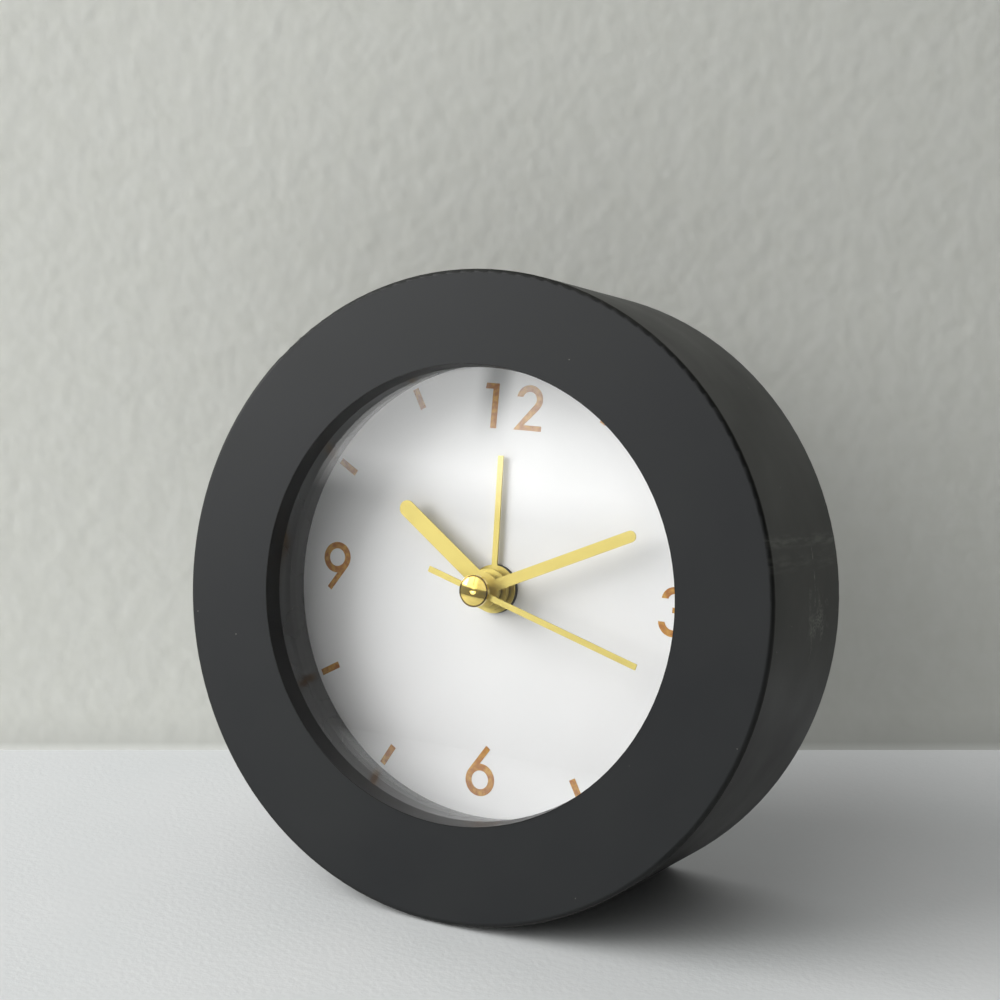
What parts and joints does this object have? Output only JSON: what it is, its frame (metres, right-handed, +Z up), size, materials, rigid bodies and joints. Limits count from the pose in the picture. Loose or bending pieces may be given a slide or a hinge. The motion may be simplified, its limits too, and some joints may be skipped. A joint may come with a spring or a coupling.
{
  "type": "desk clock",
  "caption": "Round free-standing desk clock with a deep drum case that leans back, a recessed white dial, an alarm hand and a battery quartz movement.",
  "frame": {"origin": "middle of the outer box, at the height of the feet's undersides", "axes": "+Z up, the face looks to -Y and leans back 11.2 degrees, +X is the 3 o'clock side"},
  "size_m": [0.12, 0.0644, 0.1181],
  "materials": {
    "case_plastic": "satin charcoal",
    "lens_glass": "clear, polished",
    "reveal_black": "gloss",
    "dial_white": "satin white with foil marks",
    "inner_plastic": "fine matte",
    "natural_plastic": "moulded",
    "hand_gold": "brushed gold",
    "cap_gold": "polished",
    "steel": "zinc plated",
    "magnet": "sintered",
    "copper": "enamelled wire",
    "board_green": "solder mask",
    "battery_shell": "printed film",
    "foot_rubber": "matte"
  },
  "bodies": {
    "case": {"case_body": "case_plastic", "lens": "lens_glass", "reveal_ring": "reveal_black", "dial_plate": "dial_white", "dial_carrier": "inner_plastic", "carrier_screws": "steel", "back_cover": "case_plastic", "cover_screws": "steel", "front_foot": "foot_rubber", "rear_foot": "foot_rubber", "movement_front_case": "inner_plastic", "movement_mid_plate": "natural_plastic", "movement_rear_case": "inner_plastic", "movement_screws": "steel", "stator": "steel", "coil_core": "steel", "coil_winding": "copper", "circuit_board": "board_green", "quartz_crystal": "steel", "sounder": "inner_plastic", "battery": "battery_shell", "positive_contact": "steel", "negative_contact": "steel", "alarm_contact": "steel"},
    "battery_door": {"battery_door": "case_plastic"},
    "second_hand": {"second_wheel": "natural_plastic", "second_hand": "hand_gold", "hand_cap": "cap_gold"},
    "centre_wheel": {"centre_wheel": "natural_plastic"},
    "third_wheel": {"third_wheel": "natural_plastic"},
    "fifth_wheel": {"fifth_wheel": "natural_plastic"},
    "rotor": {"rotor_arbor": "natural_plastic", "rotor_magnet": "magnet"},
    "minute_hand": {"minute_pipe": "natural_plastic", "minute_hand": "hand_gold"},
    "minute_wheel": {"minute_wheel": "natural_plastic"},
    "hour_hand": {"hour_wheel": "natural_plastic", "hour_hand": "hand_gold"},
    "alarm_hand": {"alarm_wheel": "natural_plastic", "alarm_hand": "hand_gold"},
    "time_setter": {"time_set_shaft": "natural_plastic", "time_set_knob": "inner_plastic"},
    "alarm_setter": {"alarm_set_shaft": "natural_plastic", "alarm_set_knob": "inner_plastic"},
    "alarm_switch": {"alarm_switch": "inner_plastic"}
  },
  "joints": [
    {"name": "second_spin", "type": "hinge", "parent": "case", "child": "second_hand", "pos_m": [0, -0.00397, 0.05606], "axis": [0, 0.981, -0.1942], "continuous": true},
    {"name": "centre_spin", "type": "hinge", "parent": "case", "child": "centre_wheel", "pos_m": [0, -0.00397, 0.05606], "axis": [0, 0.981, -0.1942], "continuous": true},
    {"name": "third_spin", "type": "hinge", "parent": "case", "child": "third_wheel", "pos_m": [0.00678, -0.00459, 0.05295], "axis": [0, 0.981, -0.1942], "continuous": true},
    {"name": "fifth_spin", "type": "hinge", "parent": "case", "child": "fifth_wheel", "pos_m": [-0.00194, -0.00257, 0.06314], "axis": [0, 0.981, -0.1942], "continuous": true},
    {"name": "rotor_spin", "type": "hinge", "parent": "case", "child": "rotor", "pos_m": [-0.00232, -0.00172, 0.06744], "axis": [0, 0.981, -0.1942], "continuous": true},
    {"name": "time_set_spin", "type": "hinge", "parent": "case", "child": "time_setter", "pos_m": [-0.0126, -0.00279, 0.06203], "axis": [0, 0.981, -0.1942], "continuous": true},
    {"name": "minute_spin", "type": "hinge", "parent": "case", "child": "minute_hand", "pos_m": [0, -0.00397, 0.05606], "axis": [0, 0.981, -0.1942], "continuous": true},
    {"name": "minute_wheel_spin", "type": "hinge", "parent": "case", "child": "minute_wheel", "pos_m": [-0.00832, -0.00419, 0.05494], "axis": [0, 0.981, -0.1942], "continuous": true},
    {"name": "hour_spin", "type": "hinge", "parent": "case", "child": "hour_hand", "pos_m": [0, -0.00397, 0.05606], "axis": [0, 0.981, -0.1942], "continuous": true},
    {"name": "alarm_set_spin", "type": "hinge", "parent": "case", "child": "alarm_setter", "pos_m": [0.0126, -0.00279, 0.06203], "axis": [0, 0.981, -0.1942], "continuous": true},
    {"name": "alarm_spin", "type": "hinge", "parent": "case", "child": "alarm_hand", "pos_m": [0, -0.00397, 0.05606], "axis": [0, 0.981, -0.1942], "continuous": true},
    {"name": "alarm_switch_slide", "type": "slide", "parent": "case", "child": "alarm_switch", "axis": [1, 0, 0], "range_m": [0, 0.004]},
    {"name": "battery_door_slide", "type": "slide", "parent": "case", "child": "battery_door", "axis": [0, 0.981, -0.1942], "range_m": [0, 0.025]}
  ],
  "couplings": [
    {"joint": "third_spin", "follows": "second_spin", "ratio": -0.13333},
    {"joint": "centre_spin", "follows": "second_spin", "ratio": 0.016667},
    {"joint": "fifth_spin", "follows": "second_spin", "ratio": -7.5},
    {"joint": "rotor_spin", "follows": "second_spin", "ratio": 30},
    {"joint": "minute_wheel_spin", "follows": "time_set_spin", "ratio": -0.33333},
    {"joint": "minute_spin", "follows": "time_set_spin", "ratio": 1},
    {"joint": "hour_spin", "follows": "time_set_spin", "ratio": 0.083333},
    {"joint": "alarm_spin", "follows": "alarm_set_spin", "ratio": -0.38889}
  ]
}
